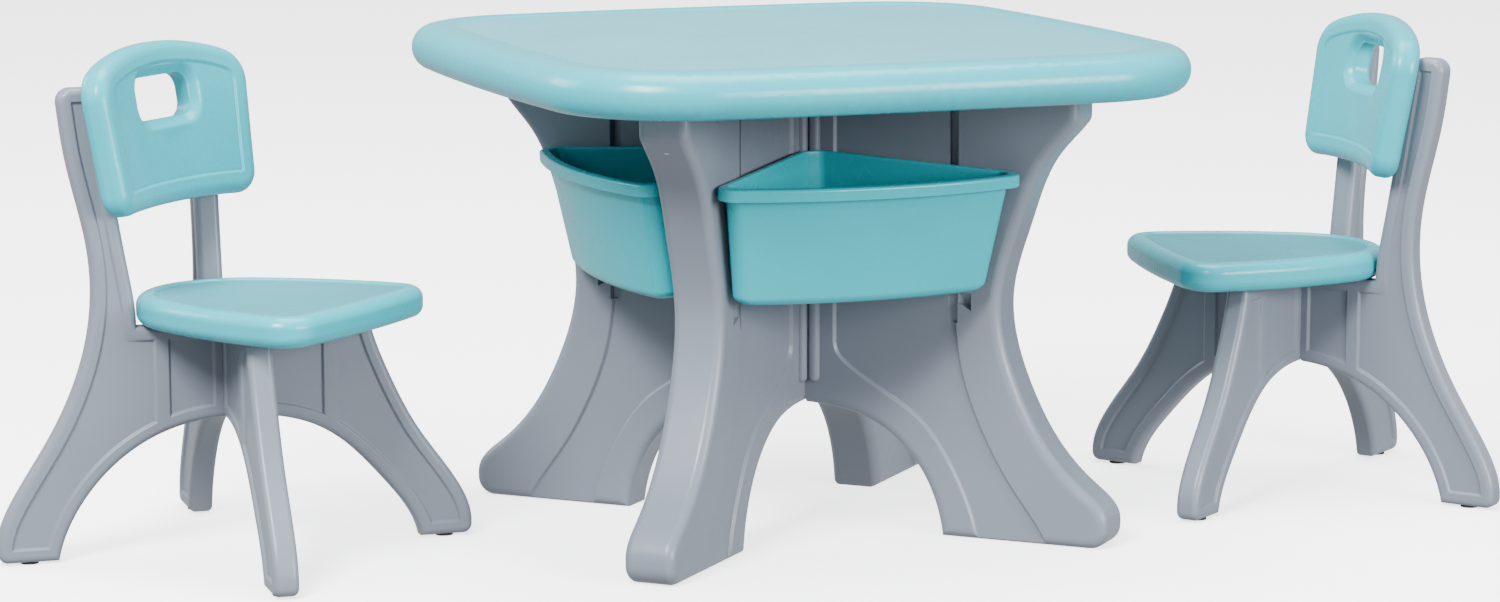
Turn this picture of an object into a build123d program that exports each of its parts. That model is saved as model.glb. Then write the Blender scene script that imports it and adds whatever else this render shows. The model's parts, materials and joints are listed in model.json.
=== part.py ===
from build123d import *
import os
from math import radians, sqrt, tan

# Kids' table with four storage bins and two chairs, in millimetres, +Z up.
# The table's sides lie along X and Y. The origin is the middle of the set's box, on the floor.

# --- table ---
TABLE_HEIGHT = 480.0
TOP_THICK = 44.0
TOP_HALF = 328.0          # centre to the middle of one side
TOP_BOW = 17.0            # how far each side bows out over its length
TOP_CORNER = 135.0        # corner radius in plan
TOP_RIM = 21.0            # rounding of the rim
PLATEAU_INSET = 44.0      # rim to the sunk middle field
PLATEAU_DEPTH = 1.5
TOP_UNDER = TABLE_HEIGHT - TOP_THICK

PANEL_THICK = 51.0        # leg panels of the table
PANEL_EDGE = 9.0          # rounding of the panels' edges
PANEL_TOP_R = 303.0       # from the table's axis to the panel's top corner
PANEL_WAIST_R = 226.0
PANEL_WAIST_Z = 236.0
PANEL_FOOT_R = 337.0
PANEL_ARCH_R = 168.0      # half the arch's span on the floor
PANEL_ARCH_Z = 121.5
LAP_GAP = 0.15            # clearance on each side of a cross-lap slot
LAP_Z = 278.0             # where the two table panels meet in the joint

FIELD_DEPTH = 3.0         # sunk field on each panel face
FIELD_INNER_R = 56.0
FIELD_BAND = 37.0         # width of the band left standing along the arch
BEAD_R = 6.0              # upright bead beside the centre joint
BEAD_AT = 35.0            # its distance from the axis, along the panel
BEAD_BOTTOM = 143.0
GROOVE_R = 178.5          # upright groove that the bin lugs sit in
GROOVE_WIDE = 10.0
GROOVE_BOTTOM = 211.0
GROOVE_DEEP = 9.0         # above the ledge
GROOVE_SHALLOW = 5.0      # below the ledge
LEDGE_Z = 333.0           # the bin lugs rest here
LUG_HIGH = 11.0
LUG_WIDE = 7.0
LUG_REACH = 8.0           # into the panel
LUG_ROOT = 8.9            # from the panel's face back to the bin's wall
LUG_REST_GAP = 0.3

# --- bins ---
BIN_TILT = 4.5            # the rim runs down towards the front
BIN_RIM_Z = 372.0         # rim at the inner end
BIN_APEX_Y = 53.0
BIN_CORNER_Y = 206.0      # sharp corners, before rounding
BIN_FRONT_Y = 230.0
BIN_FACE_GAP = 3.0        # rim to panel face
BIN_RIM_HIGH = 12.0
BIN_SIDE_OVER = 4.0       # rim beyond the wall, at the sides
BIN_FRONT_OVER = 7.0
BIN_DEEP = 116.0
BIN_DRAFT = 8.0           # of the front wall
BIN_SIDE_DRAFT = 1.2
BIN_WALL = 2.6
BIN_CORNER_R = 13.0
BIN_APEX_R = 9.0
BIN_FLOOR_R = 8.0

# --- chairs ---
SEAT_TOP = 250.0
SEAT_THICK = 29.0
SEAT_UNDER = SEAT_TOP - SEAT_THICK
SEAT_FRONT = 149.0        # front corners before rounding, from the chair's axis
SEAT_FRONT_HALF = 124.0
SEAT_BOW = 8.0            # how far the front edge bows out
SEAT_CORNER_R = 36.0
SEAT_REAR = 88.0          # the round back, clear of the uprights
SEAT_REAR_SIDE = (-30.0, 89.0)
CHAIR_PANEL_THICK = 24.0
CHAIR_EDGE = 6.0
CHAIR_LAP_Z = 176.0
CHAIR_ARCH_Z = 131.0
CHAIR_FRONT_ARCH_R = 180.0
CHAIR_REAR_ARCH_R = 170.0
CHAIR_FRONT_FOOT_R = 231.0
CHAIR_REAR_FOOT_R = 227.0
UPRIGHT_TOP = 448.0
CHAIR_FIELD_INSET = 13.0
CHAIR_FIELD_DEPTH = 2.5
PAD_HIGH = 2.0
PAD_R = 8.5

BACK_HALF = 126.0         # backrest
BACK_LOW_HALF = 114.0
BACK_THICK = 28.0
BACK_BOTTOM = 327.0
BACK_SHOULDER = 460.0
BACK_TOP = 486.0
BACK_CURVE_R = 460.0      # radius of the concave front
BACK_CENTRE_X = -62.0     # front surface at the middle, at BACK_PIVOT_Z
BACK_PIVOT_Z = 400.0
BACK_LEAN = 10.0
BACK_EDGE = 6.0           # rounding of all its edges
BACK_SHOULDER_R = 34.0
BACK_CORNER_R = 22.0
HOLE_WIDE = 91.0
HOLE_HIGH = 41.0
HOLE_Z = 433.0
HOLE_CORNER_R = 15.0

WALL = 3.5                # wall of the hollow mouldings
SCREW_R = 2.5
SCREW_HEAD_R = 4.5
SCREW_HEAD_HIGH = 3.0
SCREW_BORE_R = 5.5        # counterbore that a screw is driven up through
SCREW_TABLE_R = 288.0     # tabletop screws, up through the panels' flares
SCREW_TABLE_SEAT = 398.0
SCREW_TABLE_LONG = 57.0
SCREW_SEAT_R = 62.0       # seat screws, up from the arch
SCREW_SEAT_SEAT = 192.0
SCREW_SEAT_LONG = 46.0
SCREW_BACK_LONG = 46.0
BACK_SCREWS = ((350.0, 136.0), (422.0, 146.0))   # height, and where the head seats

# where the chairs stand, from the table's axis: x, y, and the way they face in degrees
CHAIR_PLACES = {"chair_left": (-548.0, 60.0, -48.0), "chair_right": (540.0, -39.0, 169.5)}
BIN_SIDES = {"bin_front": 0.0, "bin_right": 90.0, "bin_back": 180.0, "bin_left": 270.0}

DIAGONAL = sqrt(0.5)
INSET_STEPS = 10          # points that carry an inset curve


def solid_of(shape):
    """One plain solid from whatever an operation returned."""
    solids = shape.solids()
    if len(solids) != 1:
        raise ValueError(f"expected one solid, got {len(solids)}")
    return solids[0]


def bowed_square(half, bow, corner):
    """A square with bowed sides, as the overlap of four large discs, with rounded corners."""
    radius = (half * half + bow * bow) / (2 * bow)
    shape = Pos(half - radius, 0) * Circle(radius)
    for turn in (90, 180, 270):
        shape &= Rot(0, 0, turn) * Pos(half - radius, 0) * Circle(radius)
    return fillet(shape.vertices(), corner)


def inset_of(outline, amount):
    """An outline moved in by amount, with its offset curves redrawn as splines."""
    edges = []
    for edge in offset(outline, amount=-amount).face().outer_wire().order_edges():
        if edge.geom_type == GeomType.OFFSET:
            points = [edge.position_at(i / INSET_STEPS) for i in range(INSET_STEPS + 1)]
            edge = Spline(points, tangents=(edge.tangent_at(0), edge.tangent_at(1)))
        edges.append(edge)
    return make_face(edges)


def upright_plate(outline, half_thick):
    """A plate standing in the XZ plane, both ways from it, from an outline drawn in X and Z."""
    return extrude(Plane.XZ * outline, amount=half_thick, both=True)


def rounded_plate(outline, half_thick, radius):
    """An upright plate with both rims rounded."""
    plate = solid_of(upright_plate(outline, half_thick))
    near = plate.edges().filter_by_position(Axis.Y, half_thick - 0.01, half_thick + 0.01)
    far = plate.edges().filter_by_position(Axis.Y, -half_thick - 0.01, -half_thick + 0.01)
    return solid_of(fillet(near + far, radius))


def tabletop():
    """The hollow top, with a round rim and a slightly sunk middle field."""
    outline = bowed_square(TOP_HALF, TOP_BOW, TOP_CORNER)
    slab = solid_of(Pos(0, 0, TOP_UNDER) * extrude(outline, amount=TOP_THICK))
    flat_edges = slab.faces().sort_by(Axis.Z)[0].edges() + slab.faces().sort_by(Axis.Z)[-1].edges()
    slab = fillet(flat_edges, TOP_RIM)
    inset = bowed_square(TOP_HALF - PLATEAU_INSET, TOP_BOW, TOP_CORNER - PLATEAU_INSET)
    slab -= Pos(0, 0, TABLE_HEIGHT - PLATEAU_DEPTH) * extrude(inset, amount=TOP_THICK)
    core_half = TOP_HALF - TOP_RIM / 2 - WALL
    core = bowed_square(core_half, TOP_BOW, TOP_CORNER - TOP_RIM / 2)
    core_high = TOP_THICK - 2 * WALL - PLATEAU_DEPTH
    cavity = Pos(0, 0, TOP_UNDER + WALL) * extrude(core, amount=core_high)
    for turn in (45, 135, 225, 315):
        cavity -= Rot(0, 0, turn) * Pos(SCREW_TABLE_R, 0, TABLE_HEIGHT - 20) * Cylinder(9, 80)
        slab -= Rot(0, 0, turn) * Pos(SCREW_TABLE_R, 0, TOP_UNDER) * Cylinder(SCREW_R + 0.2, 44)
    return solid_of(slab - cavity)


def table_half_outline():
    """Half of a leg panel: arch, foot, waist and the flare under the tabletop."""
    lip_z = TOP_UNDER - 27
    arch = Spline((0, PANEL_ARCH_Z), (98, 106), (147, 61), (PANEL_ARCH_R, 0),
                  tangents=((1, 0), (0.12, -1)))
    foot = Line((PANEL_ARCH_R, 0), (PANEL_FOOT_R, 0))
    toe = Line((PANEL_FOOT_R, 0), (PANEL_FOOT_R, 24))
    edge = Spline((PANEL_FOOT_R, 24), (309, 59), (249, 140), (PANEL_WAIST_R, PANEL_WAIST_Z),
                  (244, 306), (272, 373), (PANEL_TOP_R, lip_z),
                  tangents=((0, 1), (0.75, 1)))
    rise = Line((PANEL_TOP_R, lip_z), (PANEL_TOP_R, TOP_UNDER))
    top = Line((PANEL_TOP_R, TOP_UNDER), (0, TOP_UNDER))
    axis = Line((0, TOP_UNDER), (0, PANEL_ARCH_Z))
    face = make_face(arch + foot + toe + edge + rise + top + axis)
    corners = face.vertices().filter_by_position(Axis.X, PANEL_FOOT_R - 1, PANEL_FOOT_R + 1)
    face = fillet([corners.sort_by(Axis.Y)[0]], 18)
    lip = [v for v in face.vertices() if abs(v.Y - lip_z) < 0.01 and abs(v.X - PANEL_TOP_R) < 0.01]
    return fillet(lip, 12)


def table_outline():
    half = table_half_outline()
    return half + mirror(half, about=Plane.YZ)


def four_ways(cutter):
    """A feature drawn on the front face's right half, copied to both halves and both faces."""
    pair = [cutter, mirror(cutter, about=Plane.YZ)]
    return pair + [mirror(shape, about=Plane.XZ) for shape in pair]


def on_face(outline, half_thick, depth, proud=1.0):
    """A prism that reaches depth below a panel's face, from an outline in X and Z."""
    prism = extrude(Plane.XZ * outline, amount=depth + proud)
    return Pos(0, -half_thick + depth, 0) * prism


def field_outline():
    """The sunk field, between the band along the arch and the crease down the leg."""
    inner = Line((FIELD_INNER_R, TOP_UNDER), (FIELD_INNER_R, 184))
    band = Spline((FIELD_INNER_R, 184), (76, 158), (146, 113), (185, 57), (PANEL_ARCH_R + FIELD_BAND, -1),
                  tangents=((0, -1), (0.15, -1)))
    sole = Line((PANEL_ARCH_R + FIELD_BAND, -1), (277, -1))
    crease = Spline((277, -1), (240, 54), (208, 110), (188, 165), (181, GROOVE_BOTTOM + 1),
                    tangents=((-0.5, 1), (-0.1, 1)))
    step = Line((181, GROOVE_BOTTOM + 1), (GROOVE_R, GROOVE_BOTTOM + 1))
    side = Line((GROOVE_R, GROOVE_BOTTOM + 1), (GROOVE_R, TOP_UNDER))
    top = Line((GROOVE_R, TOP_UNDER), (FIELD_INNER_R, TOP_UNDER))
    return make_face(inner + band + sole + crease + step + side + top)


def groove_cutters(half_thick):
    """The upright groove, its ledge for a bin's lug, the way out, and the hook pocket below."""
    left = GROOVE_R - GROOVE_WIDE / 2
    right = GROOVE_R + GROOVE_WIDE / 2
    high = TOP_UNDER - GROOVE_BOTTOM
    shallow = Pos(GROOVE_R, GROOVE_BOTTOM + high / 2) * Rectangle(GROOVE_WIDE, high)
    upper = TOP_UNDER - LEDGE_Z
    deep = Pos(GROOVE_R, LEDGE_Z + upper / 2) * Rectangle(GROOVE_WIDE, upper)
    pocket = Polygon((right - 1, 240), (right + 14, 240), (right + 14, 224), (right - 1, 231), align=None)
    out = Polygon((left, -half_thick + GROOVE_DEEP), (right, -half_thick + GROOVE_DEEP),
                  (right + GROOVE_DEEP + 1, -half_thick - 1), (left, -half_thick - 1), align=None)
    way_out = Pos(0, 0, LEDGE_Z) * extrude(out, amount=LUG_HIGH + 3)
    return [on_face(shallow, half_thick, GROOVE_SHALLOW), on_face(deep, half_thick, GROOVE_DEEP),
            on_face(pocket, half_thick, GROOVE_SHALLOW), way_out]


def bead(half_thick):
    """A half-round upright bead that stands beside the centre joint."""
    high = TOP_UNDER - BEAD_BOTTOM - BEAD_R
    foot = Pos(BEAD_AT, -half_thick, BEAD_BOTTOM + BEAD_R)
    return foot * extrude(Circle(BEAD_R), amount=high) + foot * Sphere(BEAD_R)


def table_core(half_thick):
    """The cavity of one half of a table panel."""
    core = inset_of(table_outline(), WALL + 6)
    room = Pos(151, 220) * Rectangle(242, 424)
    cavity = upright_plate(core & room, half_thick - FIELD_DEPTH - WALL)
    keep = half_thick - GROOVE_DEEP - WALL
    groove_wall = Pos(GROOVE_R + 4, 0, 320) * Box(GROOVE_WIDE + 24, 200, 260)
    inner = Pos(GROOVE_R + 4, 0, 320) * Box(GROOVE_WIDE + 26, 2 * keep, 262)
    return cavity - (groove_wall - inner)


def tabletop_screw_bores():
    """Bores up through the flares of one table panel, each with a seat for a screw head."""
    bores = []
    for r in (-SCREW_TABLE_R, SCREW_TABLE_R):
        bores.append(Pos(r, 0, SCREW_TABLE_SEAT - 20) * Cylinder(SCREW_BORE_R, 40))
        bores.append(Pos(r, 0, TOP_UNDER - 18) * Cylinder(SCREW_R + 0.2, 60))
    return bores


def table_panel(slot_up):
    """A leg panel across one diagonal, with a cross-lap slot in its top or bottom half."""
    half = PANEL_THICK / 2
    panel = rounded_plate(table_outline(), half, PANEL_EDGE)
    for field in four_ways(on_face(field_outline(), half, FIELD_DEPTH)):
        panel -= field
    for cutter in groove_cutters(half):
        for copy in four_ways(cutter):
            panel -= copy
    for copy in four_ways(bead(half)):
        panel += copy
    slot_wide = PANEL_THICK + 2 * LAP_GAP
    if slot_up:
        panel -= Pos(0, 0, LAP_Z + 200 - LAP_GAP) * Box(slot_wide, 80, 400)
    else:
        panel -= Pos(0, 0, LAP_Z - 200 + LAP_GAP) * Box(slot_wide, 80, 400)
    cavity = table_core(half)
    panel -= cavity
    panel -= mirror(cavity, about=Plane.YZ)
    for bore in tabletop_screw_bores():
        panel -= bore
    return solid_of(panel)


def screw(length):
    """A pan-head screw along +Z, its head under the origin."""
    head = Pos(0, 0, -SCREW_HEAD_HIGH / 2) * Cylinder(SCREW_HEAD_R, SCREW_HEAD_HIGH)
    head = fillet(head.edges().sort_by(Axis.Z)[0], 1.2)
    return head + Pos(0, 0, length / 2) * Cylinder(SCREW_R, length)


def tabletop_screws():
    screws = []
    for turn in (45, 135, 225, 315):
        place = Rot(0, 0, turn) * Pos(SCREW_TABLE_R, 0, SCREW_TABLE_SEAT)
        screws.append(place * screw(SCREW_TABLE_LONG))
    return Compound(screws)


def bin_outline(side_in, front_in, corner_r, apex_r):
    """The bin's plan with its sides and front moved in; its blunt point is towards the table's axis."""
    rim_reach = (PANEL_THICK / 2 + BIN_FACE_GAP) / DIAGONAL
    rise = BIN_FRONT_Y - BIN_CORNER_Y
    bow = ((BIN_CORNER_Y - rim_reach) ** 2 + rise * rise) / (2 * rise)
    centre_y = bow - BIN_FRONT_Y
    radius = bow - front_in
    reach = rim_reach + side_in / DIAGONAL
    # where the side line x = -y - reach meets the front's circle
    corner_y = (centre_y - reach - sqrt(2 * radius ** 2 - (reach + centre_y) ** 2)) / 2
    corner = (-corner_y - reach, corner_y)
    apex_y = -BIN_APEX_Y - front_in / 2
    apex = (-apex_y - reach, apex_y)
    edges = Line(apex, (-apex[0], apex_y))
    edges += Line((-apex[0], apex_y), (-corner[0], corner_y))
    edges += ThreePointArc((-corner[0], corner_y), (0, centre_y - radius), corner)
    edges += Line(corner, apex)
    face = make_face(edges)
    face = fillet(face.vertices().sort_by(Axis.Y)[:2], corner_r)
    return fillet(face.vertices().sort_by(Axis.Y)[-2:], apex_r)


def bin_hull(thinner, depth):
    """A drafted solid from the rim's plane down, with a rounded floor; thinner is taken off all round."""
    side = BIN_SIDE_OVER + thinner
    front = BIN_FRONT_OVER + thinner
    upper = bin_outline(side, front, BIN_CORNER_R, BIN_APEX_R)
    side += depth * tan(radians(BIN_SIDE_DRAFT))
    front += depth * tan(radians(BIN_DRAFT))
    lower = bin_outline(side, front, BIN_CORNER_R, BIN_APEX_R)
    hull = loft([upper, Pos(0, 0, -depth) * lower], ruled=True)
    return fillet(hull.faces().sort_by(Axis.Z)[0].edges(), BIN_FLOOR_R)


def bin_shell():
    """A thin bin under its rim: flange, skirt and drafted walls, the rim's top at z = 0."""
    rim = extrude(bin_outline(0, 0, BIN_CORNER_R + 2, BIN_APEX_R + 2), amount=-BIN_RIM_HIGH)
    under = bin_outline(BIN_WALL, BIN_WALL, BIN_CORNER_R, BIN_APEX_R)
    rim -= Pos(0, 0, -BIN_WALL) * extrude(under, amount=-BIN_RIM_HIGH)
    inside = bin_hull(BIN_WALL, BIN_DEEP - BIN_WALL)
    return rim + bin_hull(0, BIN_DEEP) - inside


def bin_lug(side):
    """The lug under the rim that stands in a panel's groove, on the +X or -X side."""
    reach = LUG_REACH + LUG_ROOT
    block = Box(LUG_WIDE, reach, LUG_HIGH)
    middle = LUG_REACH - reach / 2
    z = LEDGE_Z + LUG_REST_GAP + LUG_HIGH / 2
    along = Pos(GROOVE_R, -PANEL_THICK / 2 + middle, z) * block
    lug = Rot(0, 0, -45) * along
    return lug if side > 0 else mirror(lug, about=Plane.YZ)


def storage_bin():
    """The bin on the table's -Y side, leaning forward a little, with its two lugs."""
    shell = Pos(0, -BIN_APEX_Y, BIN_RIM_Z) * Rot(BIN_TILT, 0, 0) * Pos(0, BIN_APEX_Y, 0) * bin_shell()
    for side in (1, -1):
        shell += bin_lug(side)
    return solid_of(shell)


def seat_outline():
    """The seat's plan: a bowed front, and sides that close in to a round back."""
    front_y = SEAT_FRONT_HALF
    rear_x, rear_y = SEAT_REAR_SIDE
    front = ThreePointArc((SEAT_FRONT, -front_y), (SEAT_FRONT + SEAT_BOW, 0), (SEAT_FRONT, front_y))
    rear = ThreePointArc((rear_x, rear_y), (-SEAT_REAR, 0), (rear_x, -rear_y))
    left = TangentArc((rear_x, rear_y), (SEAT_FRONT, front_y), tangent=-(rear % 0))
    right = TangentArc((rear_x, -rear_y), (SEAT_FRONT, -front_y), tangent=rear % 1)
    face = make_face(front + left + rear + right)
    return fillet(face.vertices().sort_by(Axis.X)[-2:], SEAT_CORNER_R)


def seat():
    """A hollow seat with a round rim."""
    slab = solid_of(Pos(0, 0, SEAT_UNDER) * extrude(seat_outline(), amount=SEAT_THICK))
    flat_edges = slab.faces().sort_by(Axis.Z)[0].edges() + slab.faces().sort_by(Axis.Z)[-1].edges()
    slab = fillet(flat_edges, 11)
    core = extrude(offset(seat_outline(), amount=-11), amount=SEAT_THICK - 2 * WALL)
    core = Pos(0, 0, SEAT_UNDER + WALL) * core
    for turn in (45, 135, 225, 315):
        core -= Rot(0, 0, turn) * Pos(SCREW_SEAT_R, 0, SEAT_TOP - 12) * Cylinder(8, 60)
        slab -= Rot(0, 0, turn) * Pos(SCREW_SEAT_R, 0, SEAT_UNDER) * Cylinder(SCREW_R + 0.2, 38)
    return solid_of(slab - core)


def chair_outline():
    """A chair panel: front leg on +X, rear leg and upright on -X."""
    z0 = PAD_HIGH
    front_arch = Spline((0, CHAIR_ARCH_Z), (80, 116), (147, 57), (CHAIR_FRONT_ARCH_R, z0),
                        tangents=((1, 0), (0.2, -1)))
    front_sole = Line((CHAIR_FRONT_ARCH_R, z0), (CHAIR_FRONT_FOOT_R, z0))
    front_toe = Line((CHAIR_FRONT_FOOT_R, z0), (CHAIR_FRONT_FOOT_R, 16))
    front_edge = Spline((CHAIR_FRONT_FOOT_R, 16), (217, 54), (180, 107), (151, 163), (131, SEAT_UNDER),
                        tangents=((-0.05, 1), (-0.2, 1)))
    bearer = Line((131, SEAT_UNDER), (-92, SEAT_UNDER))
    upright_front = Spline((-92, SEAT_UNDER), (-99, 277), (-126, UPRIGHT_TOP), tangents=((0, 1), (-0.16, 1)))
    upright_top = Line((-126, UPRIGHT_TOP), (-163, UPRIGHT_TOP))
    upright_back = Spline((-163, UPRIGHT_TOP), (-154, 380), (-135, 290), (-137, 217), (-174, 120),
                          (-209, 64), (-CHAIR_REAR_FOOT_R, 16), tangents=((0.12, -1), (-0.05, -1)))
    rear_toe = Line((-CHAIR_REAR_FOOT_R, 16), (-CHAIR_REAR_FOOT_R, z0))
    rear_sole = Line((-CHAIR_REAR_FOOT_R, z0), (-CHAIR_REAR_ARCH_R, z0))
    rear_arch = Spline((-CHAIR_REAR_ARCH_R, z0), (-142, 62), (-75, 116), (0, CHAIR_ARCH_Z),
                       tangents=((0.2, 1), (1, 0)))
    face = make_face(front_arch + front_sole + front_toe + front_edge + bearer + upright_front
                     + upright_top + upright_back + rear_toe + rear_sole + rear_arch)
    soles = face.vertices().sort_by(Axis.Y)[:4]
    toes = [v for v in soles if abs(v.X) > 200]
    face = fillet(toes, 9)
    tops = face.vertices().sort_by(Axis.Y)[-2:]
    return fillet(tops, 13)


def chair_field_outlines():
    """The sunk fields of a chair panel's face: beside the joint, and down each leg."""
    inset = inset_of(chair_outline(), CHAIR_FIELD_INSET)
    below = SEAT_UNDER - 13
    spans = [(20, 85, below), (99, 300, below), (-62, -20, below), (-300, -76, UPRIGHT_TOP)]
    fields = []
    for low, high, top in spans:
        window = Pos((low + high) / 2, top / 2) * Rectangle(high - low, top)
        fields += (inset & window).faces()
    return fields


def chair_panel(slot_up):
    """A leg panel that carries one upright, with a cross-lap slot in its top or bottom half."""
    half = CHAIR_PANEL_THICK / 2
    panel = rounded_plate(chair_outline(), half, CHAIR_EDGE)
    for outline in chair_field_outlines():
        field = on_face(outline, half, CHAIR_FIELD_DEPTH)
        panel -= field
        panel -= mirror(field, about=Plane.XZ)
    slot_wide = CHAIR_PANEL_THICK + 2 * LAP_GAP
    if slot_up:
        panel -= Pos(0, 0, CHAIR_LAP_Z + 100 - LAP_GAP) * Box(slot_wide, 80, 200)
    else:
        panel -= Pos(0, 0, CHAIR_LAP_Z - 100 + LAP_GAP) * Box(slot_wide, 80, 200)
    for r in (-SCREW_SEAT_R, SCREW_SEAT_R):
        panel -= Pos(r, 0, SCREW_SEAT_SEAT - 50) * Cylinder(SCREW_BORE_R, 100)
        panel -= Pos(r, 0, SCREW_SEAT_SEAT) * Cylinder(SCREW_R + 0.2, 80)
    for z, seat_r in BACK_SCREWS:
        panel -= Pos(-seat_r - 20, 0, z) * Rot(0, 90, 0) * Cylinder(SCREW_BORE_R, 40)
        panel -= Pos(-seat_r, 0, z) * Rot(0, 90, 0) * Cylinder(SCREW_R + 0.2, 80)
    return solid_of(panel)


def backrest_blank():
    """A curved plate cut to the backrest's outline, upright, the middle of its front at x = 0."""
    shoulder = BACK_SHOULDER - BACK_PIVOT_Z
    crown = BACK_TOP - BACK_PIVOT_Z
    low = BACK_BOTTOM - BACK_PIVOT_Z
    sides = Line((-BACK_LOW_HALF, low), (-BACK_HALF, shoulder))
    top = ThreePointArc((-BACK_HALF, shoulder), (0, crown), (BACK_HALF, shoulder))
    other = Line((BACK_HALF, shoulder), (BACK_LOW_HALF, low))
    bottom = ThreePointArc((BACK_LOW_HALF, low), (0, low + 5), (-BACK_LOW_HALF, low))
    face = make_face(sides + top + other + bottom)
    face = fillet(face.vertices().sort_by(Axis.Y)[-2:], BACK_SHOULDER_R)
    face = fillet(face.vertices().sort_by(Axis.Y)[:2], BACK_CORNER_R)
    face -= Pos(0, HOLE_Z - BACK_PIVOT_Z) * RectangleRounded(HOLE_WIDE, HOLE_HIGH, HOLE_CORNER_R)
    front_on = Plane(origin=(-60, 0, 0), x_dir=(0, 1, 0), z_dir=(1, 0, 0)) * face
    prism = extrude(front_on, amount=140)
    ring = Circle(BACK_CURVE_R + BACK_THICK) - Circle(BACK_CURVE_R)
    shell = Pos(BACK_CURVE_R, 0, -120) * extrude(ring, amount=240)
    return solid_of(prism & shell)


def backrest():
    """The backrest, leaning back, with pockets that the uprights stand in."""
    plate = backrest_blank()
    plate = solid_of(fillet(plate.edges(), BACK_EDGE))
    plate = Pos(BACK_CENTRE_X, 0, BACK_PIVOT_Z) * Rot(0, -BACK_LEAN, 0) * plate
    clear = upright_plate(inset_of(chair_outline(), -0.3), CHAIR_PANEL_THICK / 2 + 0.3)
    for turn in (45, -45):
        plate -= Rot(0, 0, turn) * clear
        for z, seat_r in BACK_SCREWS:
            plate -= Rot(0, 0, turn) * Pos(-seat_r + 20, 0, z) * Rot(0, 90, 0) * Cylinder(SCREW_R + 0.2, 62)
    return solid_of(plate)


def seat_screws():
    screws = []
    for turn in (45, 135, 225, 315):
        screws.append(Rot(0, 0, turn) * Pos(SCREW_SEAT_R, 0, SCREW_SEAT_SEAT) * screw(SCREW_SEAT_LONG))
    return Compound(screws)


def backrest_screws():
    screws = []
    for turn in (45, -45):
        for z, seat_r in BACK_SCREWS:
            place = Rot(0, 0, turn) * Pos(-seat_r, 0, z) * Rot(0, 90, 0)
            screws.append(place * screw(SCREW_BACK_LONG))
    return Compound(screws)


def foot_pads():
    pads = []
    for turn in (45, -45):
        for r in (CHAIR_FRONT_ARCH_R + 25, -CHAIR_REAR_ARCH_R - 27):
            pads.append(Rot(0, 0, turn) * Pos(r, 0, PAD_HIGH / 2) * Cylinder(PAD_R, PAD_HIGH))
    return Compound(pads)


def chair_pieces():
    """One chair at the origin, facing +X."""
    return {
        "seat": seat(),
        "backrest": backrest(),
        "leg_panel_a": Rot(0, 0, 45) * chair_panel(slot_up=True),
        "leg_panel_b": Rot(0, 0, -45) * chair_panel(slot_up=False),
        "seat_screws": seat_screws(),
        "backrest_screws": backrest_screws(),
        "foot_pads": foot_pads(),
    }


def build_set():
    """Every piece of the set, about the table's axis."""
    parts = {
        "tabletop": tabletop(),
        "table_leg_panel_a": Rot(0, 0, 45) * table_panel(slot_up=True),
        "table_leg_panel_b": Rot(0, 0, -45) * table_panel(slot_up=False),
        "tabletop_screws": tabletop_screws(),
    }
    front_bin = storage_bin()
    for name, turn in BIN_SIDES.items():
        parts[name] = Rot(0, 0, turn) * front_bin
    chair = chair_pieces()
    for name, (x, y, facing) in CHAIR_PLACES.items():
        for piece, shape in chair.items():
            parts[f"{name}_{piece}"] = Pos(x, y, 0) * Rot(0, 0, facing) * shape
    return parts


def centred(parts):
    """The set moved so that the middle of its box is over the origin."""
    boxes = [shape.bounding_box() for shape in parts.values()]
    middle_x = (min(box.min.X for box in boxes) + max(box.max.X for box in boxes)) / 2
    middle_y = (min(box.min.Y for box in boxes) + max(box.max.Y for box in boxes)) / 2
    shift = Pos(-middle_x, -middle_y, 0)
    return {name: shift * shape for name, shape in parts.items()}


def main():
    os.makedirs("parts", exist_ok=True)
    for name, shape in centred(build_set()).items():
        export_step(shape, f"parts/{name}.step")


main()
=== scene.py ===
import json
from math import asin, atan2, ceil, cos, hypot, pi, radians, sin, sqrt, tan

import bpy
import numpy as np
from mathutils import Euler, Matrix, Vector
from mathutils.geometry import delaunay_2d_cdt


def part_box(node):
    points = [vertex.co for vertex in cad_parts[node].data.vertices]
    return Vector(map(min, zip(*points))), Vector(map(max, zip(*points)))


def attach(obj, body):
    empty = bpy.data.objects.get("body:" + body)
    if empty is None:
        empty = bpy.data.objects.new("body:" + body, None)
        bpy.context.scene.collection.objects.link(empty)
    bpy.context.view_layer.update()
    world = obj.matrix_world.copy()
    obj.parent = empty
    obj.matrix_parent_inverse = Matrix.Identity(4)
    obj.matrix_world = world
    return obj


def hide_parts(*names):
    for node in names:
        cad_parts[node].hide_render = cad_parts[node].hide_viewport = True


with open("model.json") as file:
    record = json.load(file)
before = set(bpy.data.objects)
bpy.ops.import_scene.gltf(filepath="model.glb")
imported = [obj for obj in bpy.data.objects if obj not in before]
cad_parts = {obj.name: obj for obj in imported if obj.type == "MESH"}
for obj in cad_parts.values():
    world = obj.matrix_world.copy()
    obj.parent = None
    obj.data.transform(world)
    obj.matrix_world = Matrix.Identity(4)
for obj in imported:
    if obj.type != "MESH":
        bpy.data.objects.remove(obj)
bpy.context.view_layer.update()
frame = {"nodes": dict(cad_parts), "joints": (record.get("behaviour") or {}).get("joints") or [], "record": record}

MM = 0.001

# ---------------------------------------------------------------- curves and outlines, in mm


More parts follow.
